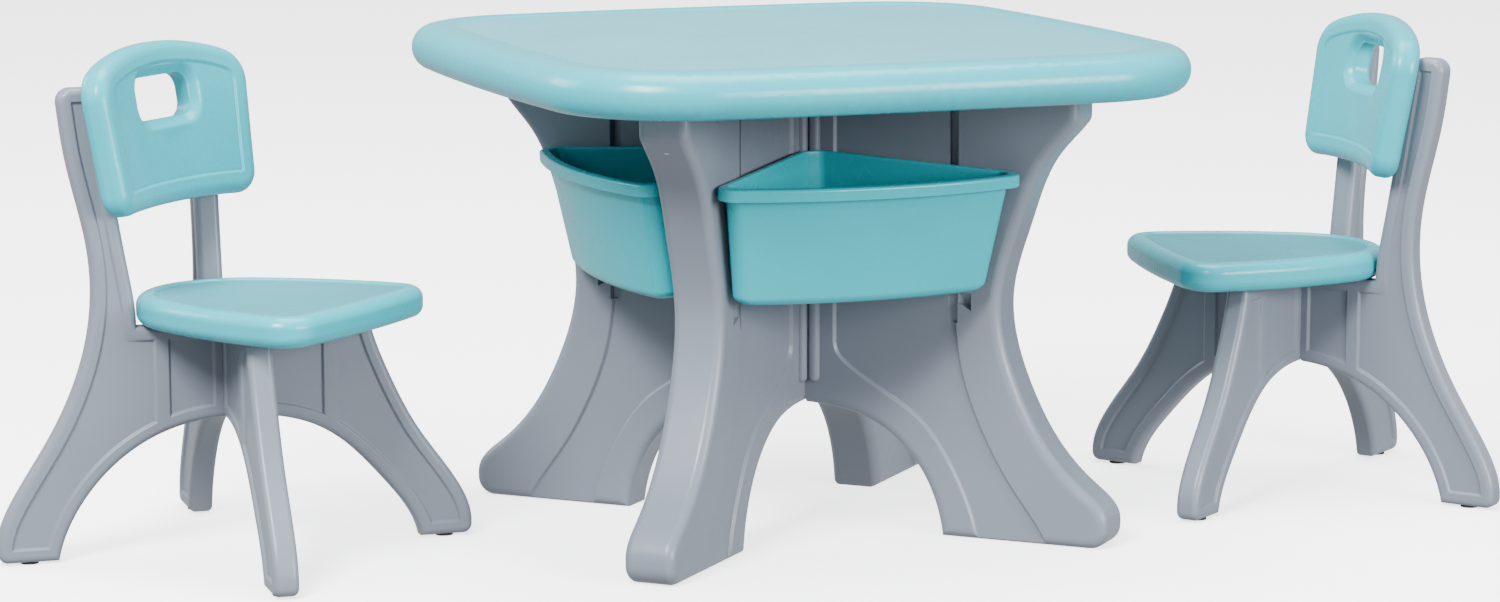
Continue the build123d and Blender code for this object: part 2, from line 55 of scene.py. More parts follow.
def spline(points, start, end, step=5.0):
    """A smooth curve through points with given end directions, sampled about every step."""
    p = np.array(points, float)
    chord = np.linalg.norm(np.diff(p, axis=0), axis=1)
    t = np.concatenate([[0], np.cumsum(chord)])
    n = len(p)
    a = np.zeros((n, n))
    b = np.zeros((n, 2))
    a[0, 0] = a[-1, -1] = 1
    b[0] = np.array(start) / np.linalg.norm(start)
    b[-1] = np.array(end) / np.linalg.norm(end)
    for i in range(1, n - 1):
        h0, h1 = chord[i - 1], chord[i]
        a[i, i - 1:i + 2] = h1, 2 * (h0 + h1), h0
        b[i] = 3 * (h0 * (p[i + 1] - p[i]) / h1 + h1 * (p[i] - p[i - 1]) / h0)
    m = np.linalg.solve(a, b)
    out = []
    for i in range(n - 1):
        count = max(2, ceil(chord[i] / step))
        for k in range(count):
            s = k / count
            h = chord[i]
            out.append((2 * s**3 - 3 * s**2 + 1) * p[i] + (s**3 - 2 * s**2 + s) * h * m[i]
                       + (3 * s**2 - 2 * s**3) * p[i + 1] + (s**3 - s**2) * h * m[i + 1])
    out.append(p[-1])
    return [tuple(q) for q in out]


def degrees_of(angle):
    return angle * 180 / pi


def line(a, b, step=8.0):
    """A straight run of points, about every step."""
    count = max(1, ceil(hypot(b[0] - a[0], b[1] - a[1]) / step))
    return [(a[0] + (b[0] - a[0]) * k / count, a[1] + (b[1] - a[1]) * k / count)
            for k in range(count + 1)]


def arc(centre, radius, start, end, count=10):
    """A circular run of points from one angle to another, in degrees."""
    return [(centre[0] + radius * cos(radians(start + (end - start) * k / count)),
             centre[1] + radius * sin(radians(start + (end - start) * k / count)))
            for k in range(count + 1)]


def corner(p, before, after, radius, count=8):
    """The rounded corner at p between two straight runs."""
    p, u, v = (np.array(q, float) for q in (p, before, after))
    u = (u - p) / np.linalg.norm(u - p)
    v = (v - p) / np.linalg.norm(v - p)
    half = 0.5 * np.arccos(np.clip(u @ v, -1, 1))
    reach = radius / tan(half)
    mid = p + (u + v) / np.linalg.norm(u + v) * radius / sin(half)
    start = p + u * reach - mid
    end = p + v * reach - mid
    a0 = atan2(start[1], start[0])
    turn = (atan2(end[1], end[0]) - a0 + pi) % (2 * pi) - pi
    return [(mid[0] + radius * cos(a0 + turn * k / count), mid[1] + radius * sin(a0 + turn * k / count))
            for k in range(count + 1)]


def tangent_circle(start, direction, end):
    """Centre of the circle that leaves start in a direction and passes through end."""
    start, direction, end = (np.array(q, float) for q in (start, direction, end))
    normal = np.array([-direction[1], direction[0]]) / np.linalg.norm(direction)
    chord = end - start
    return start + normal * (chord @ chord) / (2 * chord @ normal)


def nested_circle(centre_a, radius_a, centre_b, radius_b, radius, near):
    """Centre of the circle that touches two larger ones from inside, on the side nearest a point."""
    a, b = np.array(centre_a, float), np.array(centre_b, float)
    from_a, from_b = radius_a - radius, radius_b - radius
    apart = np.linalg.norm(b - a)
    along = (from_a**2 - from_b**2 + apart**2) / (2 * apart)
    across = sqrt(from_a**2 - along**2)
    u = (b - a) / apart
    options = [a + u * along + np.array([-u[1], u[0]]) * across * side for side in (1, -1)]
    return min(options, key=lambda q: hypot(*(q - near)))


def angle_of(point, centre):
    """The direction from centre to point, in degrees."""
    return degrees_of(atan2(point[1] - centre[1], point[0] - centre[0]))


def tidy(points):
    """A closed outline without repeated points, counter-clockwise."""
    out = []
    for q in points:
        if not out or hypot(q[0] - out[-1][0], q[1] - out[-1][1]) > 0.05:
            out.append(q)
    if hypot(out[0][0] - out[-1][0], out[0][1] - out[-1][1]) < 0.05:
        out.pop()
    a = np.array(out)
    area = np.sum(a[:, 0] * np.roll(a[:, 1], -1) - np.roll(a[:, 0], -1) * a[:, 1])
    return a if area > 0 else a[::-1]


def inset(poly, d):
    """The outline moved in by d, each point along its corner's bisector."""
    e = np.roll(poly, -1, axis=0) - poly
    e /= np.linalg.norm(e, axis=1)[:, None]
    n = np.stack([-e[:, 1], e[:, 0]], axis=1)
    m = n + np.roll(n, 1, axis=0)
    m /= np.linalg.norm(m, axis=1)[:, None]
    grow = 1 / np.clip(np.sum(m * n, axis=1), 0.35, 1)
    return poly + m * (d * grow)[:, None]


def depth_in(points, poly):
    """How far inside an outline each point lies; negative outside."""
    a, b = poly, np.roll(poly, -1, axis=0)
    out = np.empty(len(points))
    for lo in range(0, len(points), 2000):
        q = points[lo:lo + 2000]
        ab = (b - a)[None]
        aq = q[:, None] - a[None]
        t = np.clip(np.sum(aq * ab, 2) / np.sum(ab * ab, 2), 0, 1)
        dist = np.linalg.norm(aq - t[..., None] * ab, axis=2).min(1)
        y = q[:, 1, None]
        with np.errstate(divide="ignore", invalid="ignore"):
            x = a[None, :, 0] + (y - a[None, :, 1]) * ab[..., 0] / ab[..., 1]
        hits = ((a[None, :, 1] > y) != (b[None, :, 1] > y)) & (q[:, 0, None] < x)
        out[lo:lo + 2000] = np.where(hits.sum(1) % 2 == 1, dist, -dist)
    return out


def smooth(t):
    """A step from 0 to 1 with soft ends."""
    t = np.clip(t, 0, 1)
    return t * t * (3 - 2 * t)


def round_edge(d, radius):
    """How far a face has dropped at a distance d from its rounded edge."""
    return radius - np.sqrt(np.maximum(0.0, radius**2 - np.clip(radius - d, 0, radius)**2))


EDGE_STEPS = (0.01, 0.04, 0.12, 0.26, 0.46, 0.7, 1.0, 1.12)


def edge_loops(poly, radius):
    """Loops at fractions of a rounded edge's radius, closest together where it is steepest."""
    return [inset(poly, radius * k) for k in EDGE_STEPS]


# ---------------------------------------------------------------- meshes


SHARP_ANGLE = 38          # degrees between faces above which an edge stays crisp


def mesh_object(name, verts, faces):
    mesh = bpy.data.meshes.new(name)
    mesh.from_pydata([tuple(v) for v in verts], [], faces)
    mesh.validate()
    mesh.shade_smooth()
    mesh.set_sharp_from_angle(angle=radians(SHARP_ANGLE))
    mesh.update()
    obj = bpy.data.objects.new(name, mesh)
    bpy.context.scene.collection.objects.link(obj)
    weighted = obj.modifiers.new("weighted", "WEIGHTED_NORMAL")
    weighted.keep_sharp = True
    return obj


def moulded(outer, cuts, loops, lines, grid, front, back):
    """Vertices and faces of a plate: a flat triangulation of the outline, raised on both faces.

    cuts are outlines taken out. loops and lines carry the features' edges. front and back give
    each face's height at 2D points. Returns (points in 2D, height) rows and faces.
    """
    pts, edges = [], []

    def add(run, closed):
        first = len(pts)
        pts.extend((float(q[0]), float(q[1])) for q in run)
        count = len(run)
        edges.extend((first + k, first + (k + 1) % count) for k in range(count if closed else count - 1))

    for loop in [outer, *cuts, *loops]:
        add(loop, True)
    for run in lines:
        add(run, False)
    if grid:
        lo, hi = outer.min(0), outer.max(0)
        across = np.arange(lo[0] + grid / 2, hi[0], grid)
        along = np.arange(lo[1] + grid / 2, hi[1], grid)
        g = np.stack([axis.ravel() for axis in np.meshgrid(across, along)], 1)
        g = g[depth_in(g, outer) > grid * 0.3]
        pts.extend(map(tuple, g))
    flat, _, tris, _, _, _ = delaunay_2d_cdt([Vector(q) for q in pts], edges, [], 0, 1e-4)
    flat = np.array([tuple(q) for q in flat])
    tris = np.array(tris)
    mid = flat[tris].mean(1)
    keep = depth_in(mid, outer) > 0
    for cut in cuts:
        keep &= depth_in(mid, cut) < 0
    tris = tris[keep]
    used = np.unique(tris)
    where = np.full(len(flat), -1)
    where[used] = np.arange(len(used))
    flat, tris = flat[used], where[tris]
    count = len(flat)
    up = np.column_stack([flat, front(flat)])
    down = np.column_stack([flat, back(flat)])
    faces = [tuple(t) for t in tris] + [tuple(t[::-1] + count) for t in tris]
    sides = {}
    for t in tris:
        for a, b in ((t[0], t[1]), (t[1], t[2]), (t[2], t[0])):
            sides[(a, b)] = True
    for a, b in sides:
        if (b, a) not in sides:
            faces.append((a, a + count, b + count, b))
    return np.vstack([up, down]), [tuple(int(k) for k in f) for f in faces]


def stack(rings):
    """Vertices and faces of closed rings joined one to the next, the two end rings filled."""
    count = len(rings[0])
    verts = [q for ring in rings for q in ring]
    faces = []
    for k in range(len(rings) - 1):
        a, b = k * count, (k + 1) * count
        faces += [(a + i, a + (i + 1) % count, b + (i + 1) % count, b + i) for i in range(count)]
    for k, flip in ((0, True), (len(rings) - 1, False)):
        ring = list(range(k * count, (k + 1) * count))
        centre = len(verts)
        verts.append(tuple(np.mean(rings[k], axis=0)))
        for i in range(count):
            a, b = ring[i], ring[(i + 1) % count]
            faces.append((b, a, centre) if flip else (a, b, centre))
    return verts, faces


# ---------------------------------------------------------------- where things stand

top_low, top_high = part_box("tabletop")
AXIS = Vector(((top_low.x + top_high.x) / 2, (top_low.y + top_high.y) / 2, 0))
TABLE_HEIGHT = top_high.z / MM
TOP_UNDER = top_low.z / MM


def place(points, turn, origin):
    """Points in mm about a piece's own axis, turned about Z and moved, in metres."""
    spin = Matrix.Rotation(radians(turn), 4, "Z")
    return [spin @ Vector(q) * MM + origin for q in np.asarray(points, float)]


def upright(rows):
    """Rows of (r, z, thickness) as points standing in the XZ plane."""
    rows = np.asarray(rows)
    return np.column_stack([rows[:, 0], -rows[:, 2], rows[:, 1]])


# ---------------------------------------------------------------- tabletop

TOP_HALF = (top_high.x - top_low.x) / 2 / MM
TOP_BOW = 17.0
TOP_CORNER = 135.0
TOP_RIM = 21.0
PLATEAU_INSET = 44.0
PLATEAU_DEPTH = 1.5
PLATEAU_STEP = 4.2        # width of the soft step down to the plateau
PLATEAU_LOOPS = (-3.0, -2.0, -1.0, -0.2, 0.6, 1.4, 2.2)
TOP_CROWN = 0.7           # the rim's slight crown
CROWN_WIDE = 14.0


def bowed_square(half, bow, radius):
    """A square with bowed sides and rounded corners."""
    big = (half * half + bow * bow) / (2 * bow)
    shift = big - half
    # the corner's circle touches two of the large circles from inside
    along = (-shift + sqrt(2 * (big - radius)**2 - shift**2)) / 2
    swing = degrees_of(atan2(along, along + shift))
    side = arc((-shift, 0), big, -swing, swing, 44)
    bend = arc((along, along), radius, swing, 90 - swing, 26)
    quarter = side + bend
    out = []
    for turn in range(4):
        c, s = (1, 0, -1, 0)[turn], (0, 1, 0, -1)[turn]
        out += [(c * x - s * y, s * x + c * y) for x, y in quarter]
    return tidy(out)


def make_tabletop():
    """The tabletop, and which of its faces are the grained plateau."""
    outer = bowed_square(TOP_HALF, TOP_BOW, TOP_CORNER)
    loops = edge_loops(outer, TOP_RIM)
    loops += [inset(outer, PLATEAU_INSET + d) for d in PLATEAU_LOOPS]
    loops.append(inset(outer, 32))

    def front(q):
        d = depth_in(q, outer)
        crown = TOP_CROWN * smooth((d - 16) / CROWN_WIDE) * (1 - smooth((d - 30) / CROWN_WIDE))
        crown += TOP_CROWN * smooth(d / 60) - TOP_CROWN
        sunk = PLATEAU_DEPTH * smooth((d - PLATEAU_INSET + 2.6) / PLATEAU_STEP)
        return TABLE_HEIGHT - round_edge(d, TOP_RIM) + crown - sunk

    def back(q):
        return TOP_UNDER + round_edge(depth_in(q, outer), TOP_RIM)

    verts, faces = moulded(outer, [], loops, [], 24, front, back)
    middles = np.array([np.mean([verts[k] for k in face], axis=0) for face in faces])
    inside = depth_in(middles[:, :2], outer) > PLATEAU_INSET + PLATEAU_LOOPS[-2]
    grained = inside & (middles[:, 2] > TOP_UNDER + 30)
    return mesh_object("tabletop_moulding", place(verts, 0, AXIS), faces), grained


# ---------------------------------------------------------------- table leg panels

PANEL_HALF = 25.5
PANEL_EDGE = 9.0
ARCH_R, ARCH_Z = 168.0, 121.5
FOOT_R, TOP_R = 337.0, 303.0
LIP_Z = TOP_UNDER - 27
LAP_Z = 278.0
FIELD_DEPTH = 3.0
GROOVE_R, GROOVE_HALF, GROOVE_BOTTOM = 178.5, 5.0, 211.0
LEDGE_Z, WAY_OUT_TOP = 333.0, 347.0
BEAD_AT, BEAD_R, BEAD_BOTTOM = 35.0, 6.0, 143.0
BEAD_LOOPS = (0.35, 0.7, 0.9, 0.985, 1.0, 1.06, 1.2)      # fractions of the bead's radius
FIELD_STEP = 3.4          # width of the soft step down to a field
FIELD_LOOPS = (-1.9, -1.3, -0.6, 0.1, 0.7, 1.3, 1.9)
DEEP_GROOVE, SHALLOW_GROOVE, POCKET_DEPTH = 9.0, 5.0, 8.0
CRISP_STEP = 0.5          # width of a groove's wall
LAP_CLEAR = 0.15


def both_halves(right):
    """A right half, from the bottom of the axis to its top, with its mirror image."""
    return tidy(list(right) + [(-x, z) for x, z in reversed(right)])


def table_panel_outline():
    """Arch, foot, waist and the flare under the tabletop, both halves."""
    arch = spline([(0, ARCH_Z), (98, 106), (147, 61), (ARCH_R, 0)], (1, 0), (0.12, -1))
    toe = corner((FOOT_R, 0), (ARCH_R, 0), (FOOT_R, 30), 18)
    edge = spline([(FOOT_R, 24), (309, 59), (249, 140), (226, 236), (244, 306), (272, 373), (TOP_R, LIP_Z)],
                  (0, 1), (0.75, 1))
    lip = corner(edge[-1], edge[-3], (TOP_R, TOP_UNDER), 12)
    rest = line((TOP_R, TOP_UNDER), (0, TOP_UNDER))
    return both_halves(arch + line((ARCH_R, 0), (FOOT_R - 18, 0)) + toe + edge[:-3] + lip + rest)


def field_outline():
    """The sunk field between the band along the arch and the crease down the leg."""
    band = spline([(56, 184), (76, 158), (146, 113), (185, 57), (205, 0)], (0, -1), (0.15, -1))
    crease = spline([(277, 0), (240, 54), (208, 110), (188, 165), (181, 212)], (-0.5, 1), (-0.1, 1))
    run = line((56, TOP_UNDER + 9), (56, 184)) + band + line((205, 0), (277, 0)) + crease
    return tidy(run + [(181, 214), (181, TOP_UNDER + 9)])


def make_table_panel_shape(slot_up):
    """A leg panel's points and faces, lying flat, with its lap slot in the top or bottom half."""
    outer = table_panel_outline()
    field = field_outline()
    lap = PANEL_HALF + LAP_CLEAR
    low_z, high_z = (LAP_Z, TOP_UNDER + 20) if slot_up else (60, LAP_Z)
    notch = np.array([(-lap, low_z), (lap, low_z), (lap, high_z), (-lap, high_z)])
    g0, g1 = GROOVE_R - GROOVE_HALF, GROOVE_R + GROOVE_HALF
    pocket = np.array([(g1 - 1, 231), (g1 + 14, 224), (g1 + 14, 240), (g1 - 1, 240)])
    loops = edge_loops(outer, PANEL_EDGE)
    lines = []
    for side in (1, -1):
        loops += [inset(field, d) * (side, 1) for d in FIELD_LOOPS]
        loops += [inset(pocket, d) * (side, 1) for d in (-0.5, 0.0)]
        for x in (g0 - 0.7, g0, g0 + 0.4, g1 - 0.4, g1, g1 + 0.7, g1 + 9):
            lines.append(line((side * x, GROOVE_BOTTOM - 1), (side * x, TOP_UNDER - 0.4), 20))
        for z in (GROOVE_BOTTOM - 0.6, GROOVE_BOTTOM, LEDGE_Z - 0.4, LEDGE_Z, WAY_OUT_TOP, WAY_OUT_TOP + 0.4):
            lines.append(line((side * (g0 - 1), z), (side * (g1 + 10), z), 5))
        for r in [BEAD_R * k for k in BEAD_LOOPS]:
            foot = arc((side * BEAD_AT, BEAD_BOTTOM + BEAD_R), r, 180, 360, 14)
            top_z = TOP_UNDER - 0.3
            lines.append([(side * BEAD_AT - r, top_z)] + foot + [(side * BEAD_AT + r, top_z)])

    def front(q):
        x = np.abs(q[:, 0])
        z = q[:, 1]
        xz = np.column_stack([x, z])
        h = PANEL_HALF - FIELD_DEPTH * smooth(depth_in(xz, field) / FIELD_STEP + 0.5)
        in_groove = np.minimum(GROOVE_HALF - np.abs(x - GROOVE_R), z - GROOVE_BOTTOM)
        deep = np.where(z > LEDGE_Z - 0.2, DEEP_GROOVE, SHALLOW_GROOVE)
        h = np.minimum(h, PANEL_HALF - deep * smooth((in_groove + 0.2) / CRISP_STEP))
        in_pocket = depth_in(xz, pocket)
        h = np.minimum(h, PANEL_HALF - POCKET_DEPTH * smooth((in_pocket + 0.2) / CRISP_STEP))
        way = (z > LEDGE_Z - 0.2) & (z < WAY_OUT_TOP + 0.2) & (x > GROOVE_R)
        ramp = np.clip(DEEP_GROOVE - (x - g1), 0, DEEP_GROOVE)
        h = np.where(way, np.minimum(h, PANEL_HALF - ramp), h)
        foot = np.maximum(0, BEAD_BOTTOM + BEAD_R - z)
        off = np.hypot(x - BEAD_AT, foot)
        bead = np.sqrt(np.maximum(0, BEAD_R**2 - off**2))
        edge = PANEL_HALF - round_edge(depth_in(q, outer), PANEL_EDGE)
        return np.where(off < BEAD_R, np.maximum(h, PANEL_HALF + bead), np.minimum(h, edge))

    return moulded(outer, [notch], loops, lines, 40, front, lambda q: -front(q))


def make_table_panels():
    """The two panels on the diagonals, lapped into each other."""
    made = []
    for letter, slot_up, turn in (("a", True, 45), ("b", False, -45)):
        verts, faces = make_table_panel_shape(slot_up)
        points = place(upright(verts), turn, AXIS)
        made.append(mesh_object(f"table_panel_{letter}_moulding", points, faces))
    return made


# ---------------------------------------------------------------- bins

BIN_TILT, BIN_RIM_Z = 4.5, 372.0
BIN_APEX_Y, BIN_CORNER_Y, BIN_FRONT_Y = 53.0, 206.0, 230.0
BIN_REACH = (PANEL_HALF + 3.0) * sqrt(2)
BIN_WALL, BIN_DEEP = 2.6, 116.0
BIN_SIDE_OVER, BIN_FRONT_OVER = 4.0, 7.0
SIDE_SLOPE, FRONT_SLOPE = tan(radians(1.2)), tan(radians(8.0))
FLOOR_BEND, INNER_BEND = 9.0, 8.0        # rounding of the floor's edge, outside and inside
SKIRT = 12.0
LUG_HALF_WIDE, LUG_HIGH, LUG_REACH, LUG_ROOT, LUG_EDGE = 3.5, 11.0, 8.0, 8.9, 0.8
LUG_REST_GAP = 0.3


def bin_ring(side_in, front_in, corner_r, apex_r):
    """The bin's plan, its sides and front moved in, always with the same number of points."""
    half = BIN_CORNER_Y - BIN_REACH
    rise = BIN_FRONT_Y - BIN_CORNER_Y
    bow = (half**2 + rise**2) / (2 * rise)
    centre_y = bow - BIN_FRONT_Y
    radius = bow - front_in
    reach = BIN_REACH + side_in * sqrt(2)
    # the side line x = -y - reach meets the front circle
    y = (centre_y - reach - sqrt(2 * radius**2 - (reach + centre_y)**2)) / 2
    x = -y - reach
    apex_y = -BIN_APEX_Y - front_in / 2
    apex_x = -apex_y - reach
    a_end = atan2(y - centre_y, x)
    near = (radius * cos(a_end - 0.04), centre_y + radius * sin(a_end - 0.04))
    right = corner((x, y), near, (apex_x, apex_y), corner_r, 10)
    tip = corner((apex_x, apex_y), (x, y), (0, apex_y), apex_r, 6)
    a_start = atan2(right[0][1] - centre_y, right[0][0])
    front = [(radius * cos(a), centre_y + radius * sin(a))
             for a in np.linspace(-pi / 2, a_start, 22)][:-1]
    a, b = right[-1], tip[0]
    side = [(a[0] + (b[0] - a[0]) * k / 14, a[1] + (b[1] - a[1]) * k / 14) for k in range(1, 14)]
    half_ring = front + right + side + tip
    return half_ring + [(-px, py) for px, py in reversed(half_ring)][:-1]


def wall_row(thinner, extra, z, corner_r):
    """One ring of the drafted wall: thinner and extra are taken off all round."""
    side_in = BIN_SIDE_OVER + thinner + extra - z * SIDE_SLOPE
    front_in = BIN_FRONT_OVER + thinner + extra - z * FRONT_SLOPE
    return side_in, front_in, z, corner_r


def make_bin_shape():
    """A bin under its rim, as rings from the floor's middle up the outside and down the inside."""
    rows = [wall_row(0, 30, -BIN_DEEP, 5), wall_row(0, 18, -BIN_DEEP, 6), wall_row(0, 10, -BIN_DEEP, 8)]
    # outside, from the floor up
    for k in range(0, 9):
        a = radians(90 * k / 8)
        inward, upward = FLOOR_BEND * (1 - sin(a)), FLOOR_BEND * (1 - cos(a))
        rows.append(wall_row(0, inward, -BIN_DEEP + upward, 10 + 3 * sin(a)))
    rows += [wall_row(0, 0, z, 13) for z in (-90, -70, -50, -30, -16, -4)]
    # under the flange, then the skirt, the rim and its inner edge
    w = BIN_WALL
    rows += [(BIN_SIDE_OVER - 0.3, BIN_FRONT_OVER - 0.6, -w - 0.4, 13), (3.3, BIN_FRONT_OVER - 1.8, -w, 13.5),
             (w + 0.3, w + 0.6, -w, 14), (w, w, -w - 0.5, 14), (w, w, 0.4 - SKIRT, 14),
             (w * 0.75, w * 0.75, -SKIRT, 14), (w * 0.25, w * 0.25, -SKIRT, 15),
             (0.1, 0.1, 0.4 - SKIRT, 15), (0, 0, 1 - SKIRT, 15), (0, 0, -3.0, 15),
             (0.25, 0.25, -1.7, 15), (0.9, 0.9, -0.7, 14), (1.9, 1.9, -0.15, 14), (3.0, 3.0, 0, 13)]
    rows += [wall_row(w, -1.6, 0, 12), wall_row(w, -0.6, -0.3, 11), wall_row(w, 0, -1.2, 11)]
    rows += [wall_row(w, 0, z, 10.5) for z in (-5, -25, -45, -65, -85, -100)]
    for k in range(0, 9):
        a = radians(90 * k / 8)
        inward, upward = INNER_BEND * (1 - cos(a)), INNER_BEND * (1 - sin(a))
        rows.append(wall_row(w, inward, -BIN_DEEP + w + upward, 10.5 - 3 * sin(a)))
    rows.append(wall_row(w, 24, -BIN_DEEP + w, 5))
    tilt = Matrix.Rotation(radians(BIN_TILT), 3, "X")
    pivot = Vector((0, -BIN_APEX_Y, 0))
    lift = pivot + Vector((0, 0, BIN_RIM_Z))
    rings = []
    for side_in, front_in, z, corner_r in rows:
        apex_r = min(corner_r * 0.8, 11.0) if side_in < 12 else 2.0
        ring = bin_ring(side_in, front_in, corner_r, apex_r)
        rings.append([tuple(tilt @ (Vector((x, y, z)) - pivot) + lift) for x, y in ring])
    return stack(rings)


def make_lugs():
    """The pegs that stand in the panels' grooves, as two plates with rounded edges."""
    verts, faces = [], []
    w = LUG_HALF_WIDE
    outline = tidy([(-w, 0), (w, 0), (w, LUG_HIGH), (-w, LUG_HIGH)])
    loops = [inset(outline, k) for k in (0.3, LUG_EDGE)]

    def height(q):
        return LUG_REACH - round_edge(depth_in(q, outline), LUG_EDGE)

    def root(q):
        return np.full(len(q), -LUG_ROOT)

    rows, part = moulded(outline, [], loops, [], None, height, root)
    spin = Matrix.Rotation(radians(-45), 3, "Z")
    low = LEDGE_Z + LUG_REST_GAP
    for side in (1, -1):
        points = []
        for x, z, h in rows:
            p = spin @ Vector((GROOVE_R + x, -PANEL_HALF + h, low + z))
            points.append((p.x * side, p.y, p.z))
        base = len(verts)
        verts += points
        faces += [tuple(base + k for k in (face if side < 0 else face[::-1])) for face in part]
    return verts, faces


def make_bins():
    verts, faces = make_bin_shape()
    lug_verts, lug_faces = make_lugs()
    base = len(verts)
    verts = list(verts) + list(lug_verts)
    faces = faces + [tuple(base + k for k in face) for face in lug_faces]
    made = []
    for name, turn in (("bin_front", 0), ("bin_right", 90), ("bin_back", 180), ("bin_left", 270)):
        made.append((name, mesh_object(f"{name}_moulding", place(verts, turn, AXIS), faces)))
    return made


# ---------------------------------------------------------------- chairs

SEAT_TOP, SEAT_UNDER = 250.0, 221.0
SEAT_EDGE = 11.0
SEAT_FRONT, SEAT_FRONT_HALF, SEAT_BOW, SEAT_CORNER_R = 149.0, 124.0, 8.0, 36.0
SEAT_REAR, SEAT_REAR_SIDE = 88.0, (-30.0, 89.0)
CHAIR_HALF, CHAIR_EDGE = 12.0, 6.0
CHAIR_ARCH_Z, CHAIR_LAP_Z = 131.0, 176.0
UPRIGHT_TOP = 448.0
PAD_HIGH = 2.0
CHAIR_FIELD_INSET, CHAIR_FIELD_DEPTH = 13.0, 2.5
CHAIR_FIELDS = ((20, 85, SEAT_UNDER - 13), (99, 300, SEAT_UNDER - 13), (-62, -20, SEAT_UNDER - 13),
                (-300, -76, UPRIGHT_TOP))
SEAT_RIM_AT, SEAT_RIM_DEPTH, SEAT_DISH = 15.5, 2.4, 3.0
SEAT_LOOPS = (14.5, 16, 17.5, 19, 21, 24, 28)
CHAIR_STEP = 2.8          # width of the soft step down to a field
CHAIR_LOOPS = (-1.6, -1.1, -0.5, 0.1, 0.6, 1.1, 1.6)
BACK_THICK, BACK_CURVE_R, BACK_CENTRE_X, BACK_PIVOT_Z, BACK_LEAN = 28.0, 460.0, -62.0, 400.0, 10.0
BACK_FIELD_INSET = 20.0
BACK_LOOPS = (18, 19, 20, 21, 22, 23, 24)
FUNNEL_WIDE, FUNNEL_DEEP = 11.0, 8.0     # the hand hole's soft lip
FUNNEL_LOOPS = (0.1, 0.4, 1.1, 2.2, 3.8, 6.0, 8.5, 11)
BACK_HALF, BACK_LOW_HALF, BACK_RISE = 126.0, 114.0, 5.0
BACK_LOW_Z, BACK_SHOULDER_Z, BACK_CROWN_Z = -73.0, 60.0, 86.0
BACK_SHOULDER_R, BACK_CORNER_R = 34.0, 22.0
HOLE_HALF_WIDE, HOLE_HALF_HIGH, HOLE_CORNER_R, HOLE_Z = 45.5, 20.5, 15.0, 33.0
BACK_EDGE = 11.0


def seat_outline():
    """The bowed front, sides that close in and the round back, each an arc tangent to the next."""
    corner_at = (SEAT_FRONT, SEAT_FRONT_HALF)
    front_r = (SEAT_FRONT_HALF**2 + SEAT_BOW**2) / (2 * SEAT_BOW)
    front_c = (SEAT_FRONT + SEAT_BOW - front_r, 0)
    rear_x, rear_y = SEAT_REAR_SIDE
    rear_cx = (rear_x**2 + rear_y**2 - SEAT_REAR**2) / (2 * (SEAT_REAR + rear_x))
    rear_r = SEAT_REAR + rear_cx
    side_c = tangent_circle(SEAT_REAR_SIDE, (rear_y, rear_cx - rear_x), corner_at)
    side_r = hypot(corner_at[0] - side_c[0], corner_at[1] - side_c[1])
    bend_c = nested_circle(front_c, front_r, side_c, side_r, SEAT_CORNER_R, corner_at)
    swing = angle_of(bend_c, front_c)
    turn = angle_of(bend_c, side_c)
    half = arc(front_c, front_r, 0, swing, 12) + arc(bend_c, SEAT_CORNER_R, swing, turn, 14)
    half += arc(side_c, side_r, turn, angle_of(SEAT_REAR_SIDE, side_c), 20)
    half += arc((rear_cx, 0), rear_r, angle_of(SEAT_REAR_SIDE, (rear_cx, 0)), 180, 18)
    return tidy(half + [(x, -y) for x, y in reversed(half)])


def make_seat_shape():
    """A seat's points and faces, and which faces are its grained field, whose material is also darker as painted
    shade.
    """
    outer = seat_outline()
    loops = edge_loops(outer, SEAT_EDGE) + [inset(outer, d) for d in SEAT_LOOPS]

    def front(q):
        d = depth_in(q, outer)
        rim = SEAT_RIM_DEPTH * smooth((d - SEAT_RIM_AT) / 3.2) - 0.5 * smooth((d - SEAT_RIM_AT - 3.2) / 3)
        dish = SEAT_DISH * smooth((d - 20) / 60)
        return SEAT_TOP - round_edge(d, SEAT_EDGE) - rim - dish

    def back(q):
        return SEAT_UNDER + round_edge(depth_in(q, outer), SEAT_EDGE)

    verts, faces = moulded(outer, [], loops, [], 11, front, back)
    middles = np.array([np.mean([verts[k] for k in face], axis=0) for face in faces])
    grained = (depth_in(middles[:, :2], outer) > SEAT_LOOPS[2]) & (middles[:, 2] > SEAT_TOP - 12)
    return verts, faces, grained


